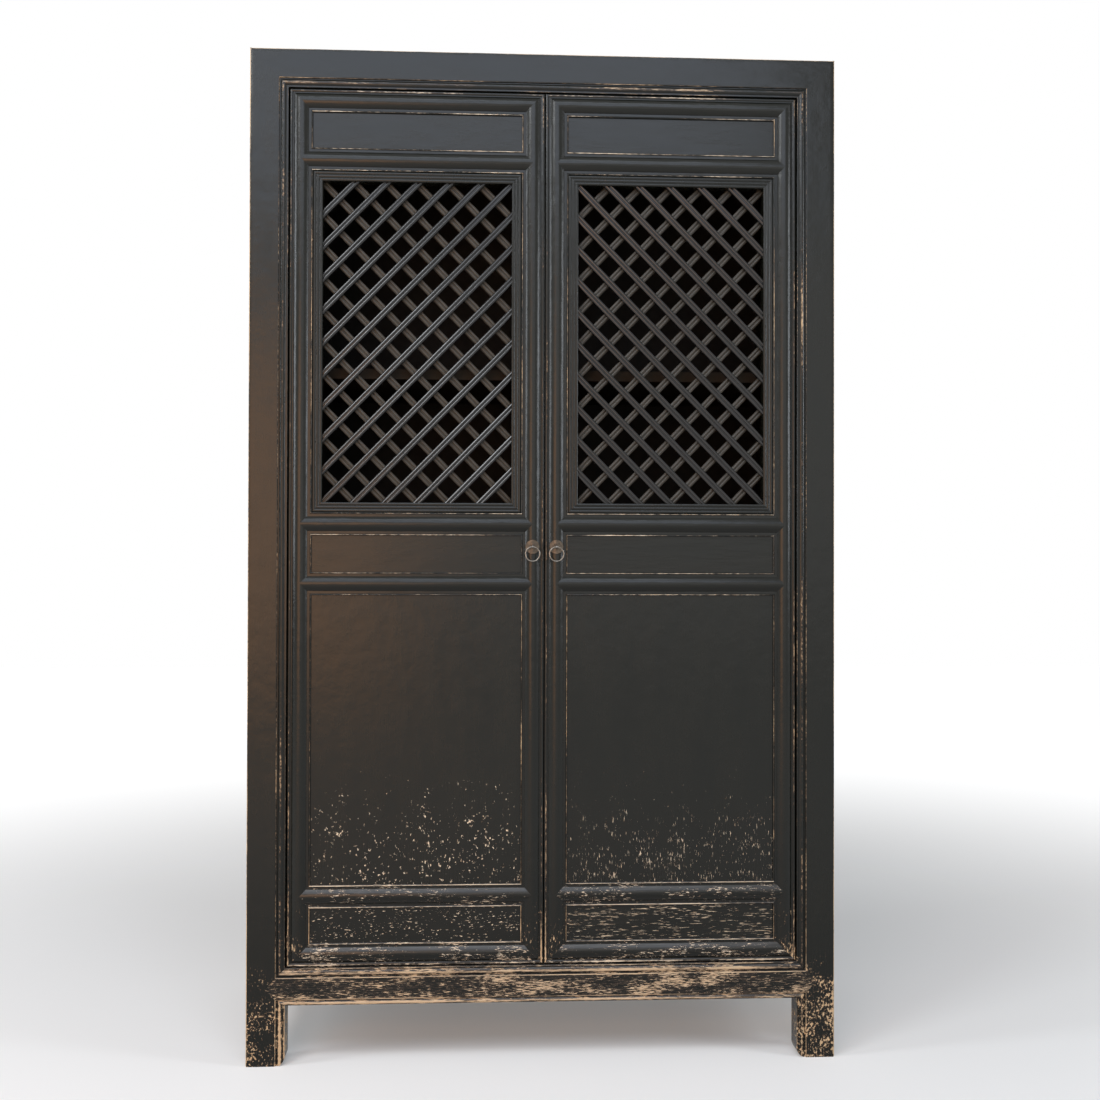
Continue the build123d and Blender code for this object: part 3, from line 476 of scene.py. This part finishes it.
for hand, side in zip(hands, (-1, 1)):
    body = "door_" + hand
    low, high = (v * 1000 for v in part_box("lattice_sash_" + hand))
    frontY, backY = low.y, high.y
    barsLow, barsHigh = (v * 1000 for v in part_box("lattice_front_bars_" + hand))
    sashWidth = barsLow.x - low.x

    # sash: reeds side by side, mitred at the corners
    reed = sashWidth / lattice["reeds"]
    sashFront = np.concatenate([
        bead(k * reed + 0.1, (k + 1) * reed - 0.1, lattice["reedRise"], 0, lattice["reedPoints"],
             lattice["reedWear"])
        for k in range(lattice["reeds"])])
    across, depth = fullOutline(sashFront, backY - frontY)
    fromOuter = sashWidth - across
    upright = [(low.z + fromOuter, depth), (high.z - fromOuter, depth)]
    level = [(low.x + fromOuter, depth), (high.x - fromOuter, depth)]
    strips = [
        carry(sashFront, upright, lambda u, d, t: (low.x + sashWidth - u, frontY + d, t)),
        carry(sashFront, upright, lambda u, d, t: (high.x - sashWidth + u, frontY + d, t)),
        carry(sashFront, level, lambda u, d, t: (t, frontY + d, low.z + sashWidth - u)),
        carry(sashFront, level, lambda u, d, t: (t, frontY + d, high.z - sashWidth + u))]
    addPiece("lattice_sash_wood_" + hand, strips, stileLacquer, body,
             "lattice_sash_" + hand)

    # bars: two rounded ridges with a groove between, each bar cut off at the sash
    ridge = np.array(lattice["ridge"])
    ridgeWear = lattice["barWear"] * np.clip(1 - ridge[:, 1] / lattice["wearDepth"], 0, 1)
    ridge = np.column_stack([ridge, ridgeWear])
    barFront = np.concatenate([ridge[::-1] * (-1, 1, 1), ridge])
    across, depth = fullOutline(barFront, lattice["barDepth"])
    cell = np.array([(barsHigh.x - barsLow.x) / lattice["cellsAcross"],
                     (barsHigh.z - barsLow.z) / lattice["cellsUp"]])
    middle = np.array([barsLow.x + barsHigh.x, barsLow.z + barsHigh.z]) / 2
    count = lattice["cellsAcross"] + lattice["cellsUp"] - 1
    for layer, slope in (("front", -side), ("rear", side)):
        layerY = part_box("lattice_" + layer + "_bars_" + hand)[0].y * 1000
        run = np.array([cell[0], slope * cell[1]]) / np.hypot(*cell)
        over = np.array([-run[1], run[0]])
        bars, strands = [], []
        for index in range(count):
            origin = middle + (0, (index - (count - 1) / 2) * cell[1])
            base = origin + over * across[:, None]
            limits = np.sort(np.stack([((barsLow.x, barsLow.z) - base) / run,
                                       ((barsHigh.x, barsHigh.z) - base) / run]), 0)
            first, last = limits[0].max(-1), limits[1].min(-1)
            last = np.maximum(last, first + 0.01)  # a line that misses the window keeps a length above 0
            bars.append(carry(barFront, [(first, depth), (last, depth)],
                              lambda u, d, t: (origin[0] + over[0] * u + run[0] * t, layerY + d,
                                               origin[1] + over[1] * u + run[1] * t)))
            strand = np.full(len(across), lattice["strandGap"] * index)
            strands.append(np.stack([[across, end, strand] for end in (first, last)]).transpose(0, 2, 1))
        node = "lattice_" + layer + "_bars_" + hand
        addPiece(node.replace("_bars_", "_bars_wood_"), bars,
                 barLacquer if layer == "front" else rearBarLacquer, body, node, strands)
print("lattice made")


# widths and depths in mm, then numbers of points across the rounded parts, then wear as on the doors
caseWood = {"step": 3, "quirk": 1, "bead": 10.5, "beadCrown": 0.6, "hollow": 2.1, "arris": 0.9,
            "edgeRound": 2.2, "footInner": 17, "footOuter": 3, "lap": 16, "lowerBead": 8.5, "thickness": 45,
            "shoulderGap": 0.05, "beadPoints": 13, "lowerBeadPoints": 9, "cornerPoints": 5, "beadWear": 0.78,
            "arrisWear": 0.95, "cornerWear": 1.15, "lowerArrisWear": 0.9, "lowerBeadWear": 0.85}


def openingMoulding():
    # from the opening outwards as (across, depth, wear): a step, a narrow quirk, a rounded bead, a flat
    # groove and the worn arris of the face
    w = caseWood
    start = w["step"] + w["quirk"]
    end = start + w["bead"]
    edge = end + w["hollow"]
    return np.concatenate([
        [[0, w["lap"], 0], [0, w["step"] + 0.4, 0.3], [0.4, w["step"], 0.8],
         [w["step"] - 0.1, w["step"], 0.2], [w["step"], start, 0], [start - 0.1, start, 0]],
        bead(start, end, w["step"], w["beadCrown"], w["beadPoints"], w["beadWear"]),
        [[end + 0.3, w["step"], 0], [edge - 0.1, w["step"], 0], [edge, w["arris"], 0.6],
         [edge + w["arris"] / 2, w["arris"] / 3, w["arrisWear"]], [edge + w["arris"] * 1.6, 0, 0.5],
         [edge + w["arris"] * 4, 0, 0]]])


def outerArris(width):
    # quarter round at the outer edge of a post or rail, worn by the root of the sine of twice its turn
    r = caseWood["edgeRound"]
    turn = np.linspace(0, math.pi / 2, caseWood["cornerPoints"])
    corner = np.column_stack([width - r + r * np.sin(turn), r - r * np.cos(turn),
                              caseWood["cornerWear"] * np.sin(2 * turn) ** 0.5])
    return np.concatenate([[[width - 4 * r, 0, 0]], corner, [[width, caseWood["lap"], 0]]])


low, high = (v * 1000 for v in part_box("front_post_left"))
postFace = high.x - low.x
cabinetTop = high.z
frontY = low.y
openingHalf = -high.x
railLow, railHigh = (v * 1000 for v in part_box("front_bottom_rail"))
mouldingWidth = sum(caseWood[k] for k in ("step", "quirk", "bead", "hollow"))
railHeight = railHigh.z - railLow.z
lowerStrip = caseWood["lowerBead"] + caseWood["hollow"]
flatHalf = (railHeight - mouldingWidth - lowerStrip) / 2
tip = mouldingWidth + flatHalf  # how far the bottom rail's pointed shoulder reaches onto the post

postFront = np.concatenate([openingMoulding(), [[tip + 0.3, 0, 0]], outerArris(postFace)])
across, depth = fullOutline(postFront, caseWood["thickness"])
front = depth < caseWood["lap"]
fromOuter = postFace - across
# the foot's corners are quarter rounds: height = r - sqrt(r^2 - (r - distance from the edge)^2)
footIn, footOut = caseWood["footInner"], caseWood["footOuter"]
foot = (footIn - np.sqrt(footIn ** 2 - np.maximum(footIn - across, 0) ** 2)
        + footOut - np.sqrt(footOut ** 2 - np.maximum(footOut - fromOuter, 0) ** 2))
# the shoulder's outline on the post: 45 degrees down from the opening's corner to the tip, 45 degrees back,
# then over the lower bead to the rail's lower edge
upper = railHigh.z - np.minimum(across, tip)
lower = railLow.z + np.where(across < mouldingWidth, across * lowerStrip / mouldingWidth,
                             lowerStrip + np.minimum(across, tip) - mouldingWidth)
gap = caseWood["shoulderGap"]
sunk = np.where(front & (across < tip), caseWood["lap"], depth)
post = [(foot, depth), (lower - gap, depth), (lower + gap * 0.5, sunk), (upper - gap * 0.5, sunk),
        (upper + gap, depth), (cabinetTop - np.maximum(fromOuter, depth), depth)]
for hand, side in zip(hands, (-1, 1)):
    name = "front_post_" + hand
    addPiece(name + "_wood",
             [carry(postFront, post, lambda u, d, t: (side * (openingHalf + u), frontY + d, t))],
             uprightLacquer, "cabinet", name)

topEnds = openingHalf + postFace - np.maximum(fromOuter, depth)
addPiece("front_top_rail_wood",
         [carry(postFront, [(-topEnds, depth), (topEnds, depth)],
                lambda u, d, t: (t, frontY + d, cabinetTop - postFace + u))],
         levelLacquer, "cabinet", "front_top_rail")

# bottom rail: the same moulding above, a flat, then a groove and a rounded bead along the lower edge
w = caseWood
flatEnd = railHeight - lowerStrip
lowerFront = np.concatenate([
    openingMoulding(), [[tip, 0, 0.1], [flatEnd - w["arris"] * 4, 0, 0.1],
                        [flatEnd - w["arris"] * 1.6, 0, 0.6],
                        [flatEnd - w["arris"] / 2, w["arris"] / 3, w["lowerArrisWear"]],
                        [flatEnd, w["arris"], 0.5],
                        [flatEnd + 0.1, w["step"], 0], [flatEnd + w["hollow"] - 0.3, w["step"], 0]],
    bead(flatEnd + w["hollow"], railHeight - 0.1, w["step"], w["beadCrown"], w["lowerBeadPoints"],
         w["lowerBeadWear"]),
    [[railHeight, w["step"] + 0.5, 0.5], [railHeight, w["lap"], 0]]])
across, depth = fullOutline(lowerFront, caseWood["thickness"])
fromLow = railHeight - across
reach = np.minimum(across, np.where(fromLow < lowerStrip, fromLow * mouldingWidth / lowerStrip,
                                    fromLow - lowerStrip + mouldingWidth))
ends = openingHalf + np.where(depth < caseWood["lap"], reach, 0)
addPiece("front_bottom_rail_wood",
         [carry(lowerFront, [(-ends, depth), (ends, depth)],
                lambda u, d, t: (t, frontY + d, railHigh.z - u))],
         levelLacquer, "cabinet", "front_bottom_rail")
print("case front made")


# sizes in mm, then wear and the numbers of points round each loop. The wire thins by up to twice uneven
pull = {"plateThickness": 1.5, "plateGap": 0.1, "hole": 1.6, "plateRound": 0.6, "eyeRadius": 2.8,
        "strip": 2.2, "stripThickness": 1.1, "eyeRound": 0.25, "uneven": 0.04, "eyeWear": 0.9,
        "stripWear": 0.5, "ringWear": 0.8, "plateSteps": 64, "eyeSteps": 36, "ringSteps": 72, "wireSteps": 16}


def loop(section, wear, steps, place):
    # a closed section of (radius, sideways) carried round a circle
    turn = np.linspace(0, 2 * math.pi, steps, endpoint=False)[:, None]
    radius = np.broadcast_to(section[:, 0], (steps, len(section)))
    sideways = np.broadcast_to(section[:, 1], (steps, len(section)))
    grid = np.stack(place(radius, sideways, turn), -1)
    return grid, np.broadcast_to(wear, radius.shape), True


def roundedSlab(inner, outer, low, high, r):
    # closed section of a flat band with corners cut at 45 degrees
    return np.array([[inner + r, low], [outer - r, low], [outer, low + r], [outer, high - r],
                     [outer - r, high], [inner + r, high], [inner, high - r], [inner, low + r]])


for hand, side in zip(hands, (-1, 1)):
    plateLow, plateHigh = (v * 1000 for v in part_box("pull_plate_" + hand))
    ringLow, ringHigh = (v * 1000 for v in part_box("pull_ring_" + hand))
    pinLow, pinHigh = (v * 1000 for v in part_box("pull_cotter_" + hand))
    centreX = (plateLow.x + plateHigh.x) / 2
    centreZ = (plateLow.z + plateHigh.z) / 2
    plateRadius = (plateHigh.z - plateLow.z) / 2
    ringCentreZ = (ringLow.z + ringHigh.z) / 2
    ringY = (ringLow.y + ringHigh.y) / 2
    wire = (ringHigh.y - ringLow.y) / 2
    ringRadius = (ringHigh.z - ringLow.z) / 2 - wire

    # plate bent over the stile: depth = axis - sqrt(radius^2 - x^2)
    halfPillow = memberWidth / 2 - doorWood["bead"] - doorWood["band"]
    bend = (halfPillow ** 2 + doorWood["pillowEdge"] ** 2) / (2 * doorWood["pillowEdge"])
    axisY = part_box("meeting_stile_" + hand)[0].y * 1000 + bend
    slab = roundedSlab(pull["hole"], plateRadius, pull["plateGap"], pull["plateGap"] + pull["plateThickness"],
                       pull["plateRound"])
    plateWear = np.array([0, 0, 0.3, 1, 1, 0.4, 0, 0])

    def bent(r, s, a):
        x = r * np.cos(a)
        return centreX + x, axisY - np.sqrt((bend + s) ** 2 - x ** 2), centreZ + r * np.sin(a)

    addPiece("pull_plate_brass_" + hand, [loop(slab, plateWear, pull["plateSteps"], bent)], plateBrass,
             "door_" + hand, "pull_plate_" + hand)

    # cotter: the eye stands upright in the door's middle plane, the strip's legs lie flat behind the stile
    half = pull["stripThickness"] / 2
    eyeSection = roundedSlab(pull["eyeRadius"] - half, pull["eyeRadius"] + half, -pull["strip"] / 2,
                             pull["strip"] / 2, pull["eyeRound"])
    eye = loop(eyeSection, np.full(8, pull["eyeWear"]), pull["eyeSteps"],
               lambda r, s, a: (centreX + s, ringY + r * np.cos(a), centreZ + r * np.sin(a)))
    box = np.array([[-1, 0, pull["stripWear"]], [1, 0, pull["stripWear"]]])  # the stations hold its depth
    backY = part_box("meeting_stile_" + hand)[1].y * 1000
    shankDepth = np.array([-1, -1, 1, 1]) * pull["stripThickness"]
    shank = carry(box, [(np.full(4, ringY + pull["eyeRadius"]), shankDepth),
                        (np.full(4, backY), shankDepth)],
                  lambda u, d, t: (centreX + u * pull["strip"] / 2, t, centreZ + d))
    legDepth = np.array([0, 0, 1, 1]) * pull["stripThickness"]
    legReach = (pinHigh.x - pinLow.x) / 2
    legs = carry(box, [(np.full(4, -legReach), legDepth), (np.full(4, legReach), legDepth)],
                 lambda u, d, t: (centreX + t, backY + d, centreZ + u * pull["strip"] / 2))
    addPiece("pull_cotter_brass_" + hand, [eye, shank, legs], ringBrass, "door_" + hand,
             "pull_cotter_" + hand)

    # ring: round wire, hammered a little uneven: its thickness follows a sine with three waves
    turn = np.linspace(0, 2 * math.pi, pull["wireSteps"], endpoint=False)
    about = np.linspace(0, 2 * math.pi, pull["ringSteps"], endpoint=False)[:, None]
    thick = wire * (1 - pull["uneven"] * (1 + np.sin(3 * about + side)))
    section = np.column_stack([np.cos(turn), np.sin(turn)])
    ring = loop(section, np.full(len(turn), pull["ringWear"]), pull["ringSteps"],
                lambda r, s, a: (centreX + (ringRadius + thick * r) * np.sin(a), ringY + thick * s,
                                 ringCentreZ + (ringRadius + thick * r) * np.cos(a)))
    addPiece("pull_ring_brass_" + hand, [ring], ringBrass, "ring_" + hand, "pull_ring_" + hand)
print("pulls made")


# finishes of the pieces that keep their own mesh
for name, node in nodes.items():
    if node.hide_render:
        continue
    if name.startswith(("frieze_panel", "waist_panel", "base_panel", "top_panel")):
        finish = scrapedLevelPanelLacquer if name.endswith("right") else levelPanelLacquer
    elif name.startswith(("large_panel", "side_panel")):
        finish = scrapedPanelLacquer if name.endswith("right") else panelLacquer
    # the back boards and the parts inside take the stains that are darkened as painted shade
    elif name.startswith("back_"):
        finish = backStainAndPaintedShade
    elif name.startswith(("upper_shelf", "lower_shelf", "shelf_bearers", "door_stops", "bottom_board")):
        finish = insideStainAndPaintedShade
    elif "post" in name:
        finish = uprightLacquer
    else:
        finish = levelLacquer
    node.material_slots[0].material = finish
print(len(madePieces), "pieces made,", len(nodes), "nodes in the frame")


# lengths in metres. Lamps: name, place, what it points at, width, height, radiance and colour
# the floor's near and far values are the strength of its painted glow, near the cabinet and far from it
studio = {"floor": "#dddcd9", "floorHalf": 9, "floorRough": 0.9, "floorSheen": 0.2, "floorGlowNear": 0.16,
          "floorGlowFar": 0.8, "fadeFrom": 0.8, "fadeTo": 4, "air": "#f6f8fb", "worldStrength": 0.25,
          "lamps": [("top_softbox", (-0.2, -3.2, 3.15), (-0.2, 0, 3.15), 2.8, 1.5, 3.9, "#d7e3f8"),
                    ("high_softbox", (-0.3, -2.3, 4.1), (-0.2, -0.2, 1.2), 2.6, 1.0, 4.5, "#dde8f6"),
                    ("left_window", (-3.2, -1.0, 1.9), (0, -1.0, 1.9), 0.6, 2.0, 13.0, "#e8eef6"),
                    ("right_window", (2.8, -1.3, 1.7), (0, -1.3, 1.7), 0.65, 1.4, 13.0, "#e8eef6"),
                    ("warm_card", (-1.4, -3.3, 1.15), (-1.4, 0, 1.15), 1.8, 1.5, 3.8, "#ffad5a"),
                    ("pale_card", (-1.8, -2.14, 3.05), (-0.1, -0.21, 1.15), 0.95, 0.95, 15.0, "#eef2f6"),
                    ("front_fill", (0.3, -4.6, 1.7), (0.3, 0, 1.7), 5.0, 2.2, 1.0, "#f3f3f3")]}


def seenRay(tree):
    # 1 for what the camera sees, straight or in a reflection or through glass, else 0
    path = addNode(tree, "ShaderNodeLightPath", {})
    seen = path["Is Camera Ray"]
    for ray in ("Is Glossy Ray", "Is Transmission Ray"):
        seen = addNode(tree, "ShaderNodeMath", {0: seen, 1: path[ray]}, operation="MAXIMUM")[0]
    return seen


floorMesh = bpy.data.meshes.new("floor")
half = studio["floorHalf"]
corners = [(-half, -half, 0), (half, -half, 0), (half, half, 0), (-half, half, 0)]
floorMesh.from_pydata(corners, [], [(0, 1, 2, 3)])
floor = bpy.data.objects.new("floor", floorMesh)
bpy.context.scene.collection.objects.link(floor)
floorPaint = bpy.data.materials.new("pale_floor")
floorPaint.use_nodes = True
tree = floorPaint.node_tree
tree.nodes.clear()
# a painted glow, seen by the camera and in reflections, fades the floor into the white background away from the
# cabinet; near it the glow is weak, so the floor keeps its own tone and shadow there
reach = addNode(tree, "ShaderNodeVectorMath", {0: addNode(tree, "ShaderNodeTexCoord", {})["Object"]},
                operation="LENGTH")["Value"]
fade = addNode(tree, "ShaderNodeMapRange",
               {"Value": reach, "From Min": studio["fadeFrom"], "From Max": studio["fadeTo"],
                "To Min": studio["floorGlowNear"], "To Max": studio["floorGlowFar"]},
               interpolation_type="SMOOTHSTEP")[0]
paintedGlow = addNode(tree, "ShaderNodeMath", {0: seenRay(tree), 1: fade}, operation="MULTIPLY")[0]
shader = addNode(tree, "ShaderNodeBsdfPrincipled",
                 {"Base Color": toLinear(studio["floor"]), "Roughness": studio["floorRough"],
                  "Specular IOR Level": studio["floorSheen"], "Emission Color": (1, 1, 1, 1),
                  "Emission Strength": paintedGlow})[0]
addNode(tree, "ShaderNodeOutputMaterial", {"Surface": shader})
floorMesh.materials.append(floorPaint)

world = bpy.data.worlds.new("studio_air")
bpy.context.scene.world = world
world.use_nodes = True
tree = world.node_tree
tree.nodes.clear()
plain = addNode(tree, "ShaderNodeBackground", {"Color": (1, 1, 1, 1), "Strength": 1})[0]
soft = addNode(tree, "ShaderNodeBackground",
               {"Color": toLinear(studio["air"]), "Strength": studio["worldStrength"]})[0]
air = addNode(tree, "ShaderNodeMixShader", {0: seenRay(tree), 1: soft, 2: plain})[0]
addNode(tree, "ShaderNodeOutputWorld", {"Surface": air})


def aim(thing, target):
    # turns a lamp so that its -Z axis runs from its place to the target
    thing.rotation_mode = "QUATERNION"
    toward = [t - p for t, p in zip(target, thing.location)]
    thing.rotation_quaternion = Vector(toward).to_track_quat("-Z", "Y")


for name, spot, target, width, height, radiance, colour in studio["lamps"]:
    lamp = bpy.data.lights.new(name, "AREA")
    lamp.shape = "RECTANGLE"
    lamp.size, lamp.size_y = width, height
    lamp.energy = math.pi * width * height * radiance  # radiance is the power over pi times the area
    lamp.color = toLinear(colour)[:3]
    stand = bpy.data.objects.new(name, lamp)
    stand.location = spot
    bpy.context.scene.collection.objects.link(stand)
    aim(stand, target)

# camera: 2.4 m in front of the cabinet, a little left of its middle and turned 3 degrees to the right
eyePoint = {"place": (-0.118, -2.657, 0.931), "yaw": 3.02, "pitch": 0.57, "roll": -0.14, "focalPixels": 1300,
            "imagePixels": 1100, "sensor": 36, "farthest": 100}
camera = bpy.data.cameras.new("camera")
camera.sensor_width = eyePoint["sensor"]
camera.lens = eyePoint["sensor"] * eyePoint["focalPixels"] / eyePoint["imagePixels"]
camera.clip_end = eyePoint["farthest"]
viewer = bpy.data.objects.new("camera", camera)
viewer.location = eyePoint["place"]
viewer.rotation_euler = [math.radians(angle)
                         for angle in (90 + eyePoint["pitch"], eyePoint["roll"], -eyePoint["yaw"])]
bpy.context.scene.collection.objects.link(viewer)
bpy.context.scene.camera = viewer
bpy.context.scene.view_settings.view_transform = "Standard"

print("studio made")
